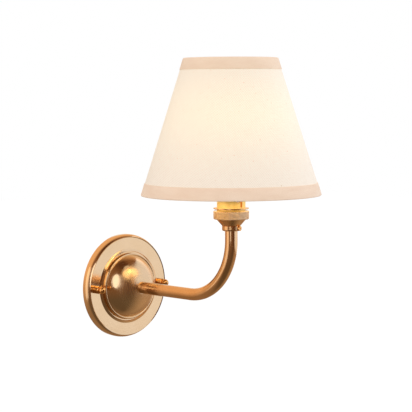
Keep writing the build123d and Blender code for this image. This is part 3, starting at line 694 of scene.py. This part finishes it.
def photoCamera():
    back = wayOut(cameraLook["turn"], cameraLook["rise"])
    right = (-back).cross(Vector((0, 0, 1))).normalized()
    up = right.cross(-back)
    aim = Vector(cameraLook["aim"]) + right * cameraLook["aimRight"]
    aim += Vector((0, 0, cameraLook["aimUp"]))
    roll = radians(cameraLook["roll"])
    tiltRight = right * cos(roll) + up * sin(roll)
    tiltUp = up * cos(roll) - right * sin(roll)
    data = bpy.data.cameras.new("camera")
    data.lens, data.sensor_width = cameraLook["lens"], cameraLook["sensor"]
    camera = bpy.data.objects.new("camera", data)
    bpy.context.scene.collection.objects.link(camera)
    turned = Matrix((tiltRight, tiltUp, back)).transposed().to_4x4()
    camera.matrix_world = Matrix.Translation(aim + back * cameraLook["away"]) @ turned
    bpy.context.scene.camera = camera


photoCamera()

lightLook = {
    "centre": (0.0, -80 * mm, 80 * mm),
    "panels": [
        {"name": "rightBox", "turn": 58.0, "rise": 16.0, "away": 1.5, "width": 2.8, "height": 2.0,
         "shape": "RECTANGLE", "bright": 0.72, "colour": (0.85, 1.01, 1.2)},
        {"name": "leftBox", "turn": -107.0, "rise": 3.0, "away": 1.5, "width": 1.2, "height": 1.6,
         "shape": "RECTANGLE", "bright": 0.5, "colour": (1.0, 0.96, 0.93)},
        {"name": "frontBox", "turn": -55.0, "rise": 16.0, "away": 1.45, "width": 0.7,
         "height": 1.25, "shape": "ELLIPSE", "bright": 0.95, "colour": (0.96, 1.0, 1.04)},
    ],
}


def softBox(panel):
    out = wayOut(panel["turn"], panel["rise"])
    data = bpy.data.lights.new(panel["name"], "AREA")
    data.shape, data.size, data.size_y = panel["shape"], panel["width"], panel["height"]
    data.energy = pi * panel["width"] * panel["height"] * panel["bright"]
    data.color = panel["colour"]
    lamp = bpy.data.objects.new(panel["name"], data)
    spot = Vector(lightLook["centre"]) + out * panel["away"]
    lamp.matrix_world = Matrix.Translation(spot) @ out.to_track_quat("Z", "Y").to_matrix().to_4x4()
    lamp.visible_camera = False
    bpy.context.scene.collection.objects.link(lamp)


for panel in lightLook["panels"]:
    softBox(panel)

roomLook = {
    "backdrop": (0.69, 0.72),  # x and y of the way the camera looks
    "ambient": (0.84, 0.81, 0.80),
    "frontLow": (0.13, 0.085, 0.05), "rightLow": (0.55, 0.37, 0.23),
    "frontHigh": (0.23, 0.10, 0.04), "middle": (0.10, 0.035, 0.012),
    "wallLow": (0.30, 0.18, 0.10), "wallHigh": (0.90, 0.53, 0.28),
    # where one colour gives way to the next, by the x, y or z of a direction
    "backdropEdge": (0.86, 0.94), "right": (0.1, 0.8), "frontRise": (-0.7, 0.1),
    "middleLeft": (-0.6, -0.2), "middleRight": (0.1, 0.35),
    "wallRise": (-0.6, 0.3), "towardsWall": (-0.1, 0.3),
}


def room():
    # white to the camera, and behind the object in what metal mirrors; round it, a warm dim room
    world = bpy.data.worlds.new("room")
    bpy.context.scene.world = world
    world.use_nodes = True
    air = Nodes(world.node_tree)
    look = roomLook
    white = (1, 1, 1)
    seen, mirrored, through = air.several(
        "ShaderNodeLightPath", ("Is Camera Ray", "Is Glossy Ray", "Is Transmission Ray"))
    way = air.add("ShaderNodeTexCoord", output="Generated")
    x, y, z = air.several("ShaderNodeSeparateXYZ", "XYZ", {"Vector": way})
    behind = (x * look["backdrop"][0] + y * look["backdrop"][1]).fit(*look["backdropEdge"])
    low = air.mix(x.fit(*look["right"]), look["frontLow"], look["rightLow"])
    straight = x.fit(*look["middleLeft"]) * x.fit(*look["middleRight"], 1.0, 0.0)
    high = air.mix(straight, look["frontHigh"], look["middle"])
    front = air.mix(z.fit(*look["frontRise"]), low, high)
    wall = air.mix(z.fit(*look["wallRise"]), look["wallLow"], look["wallHigh"])
    mirror = air.mix(behind, air.mix(y.fit(*look["towardsWall"]), front, wall), white)
    colour = air.mix(mirrored, look["ambient"], mirror)
    colour = air.mix(seen.most(through), colour, white)
    air.tree.links.new(colour.socket, air.tree.nodes["Background"].inputs["Color"])


room()

glintLook = {
    "at": (0.0, -145.5 * mm, 147 * mm), "radius": 1.5 * mm, "power": 0.035,
    "colour": (1.0, 0.56, 0.18),
}


def bulbHeart():
    # the hot core of the bulb, as the metal below mirrors it
    data = bpy.data.lights.new("bulbHeart", "POINT")
    data.energy, data.shadow_soft_size = glintLook["power"], glintLook["radius"]
    data.color = glintLook["colour"]
    heart = bpy.data.objects.new("bulbHeart", data)
    heart.location = glintLook["at"]
    heart.visible_camera = heart.visible_diffuse = False
    bpy.context.scene.collection.objects.link(heart)


bulbHeart()

floorLook = {
    "level": -0.6, "size": 8.0, "fixed": {"Roughness": 0.9, "Base Color": (0.5, 0.5, 0.5, 1)},
    "white": {"Color": (1, 1, 1, 1), "Strength": 1.19}, "whiteShare": 0.8,
}


def floor():
    # white to the camera but for the object's soft shadow
    mesh = bmesh.new()
    bmesh.ops.create_grid(mesh, x_segments=1, y_segments=1, size=floorLook["size"])
    bmesh.ops.translate(mesh, verts=mesh.verts, vec=(0, 0, floorLook["level"]))
    piece = finishMesh("floor", mesh)
    paint = Paint("floorPaint", floorLook["fixed"])
    seen, through = paint.several("ShaderNodeLightPath", ("Is Camera Ray", "Is Transmission Ray"))
    white = paint.add("ShaderNodeEmission", {}, floorLook["white"])
    share = seen.most(through) * floorLook["whiteShare"]
    shader = Signal(paint, paint.shader.outputs[0])
    surface = paint.add("ShaderNodeMixShader", {}, {0: share, 1: shader, 2: white})
    paint.tree.links.new(surface.socket, paint.tree.nodes["Material Output"].inputs["Surface"])
    piece.data.materials.append(paint.material)
    piece.visible_glossy = False


floor()
bpy.context.scene.view_settings.view_transform = "Standard"
print("camera and lights done")
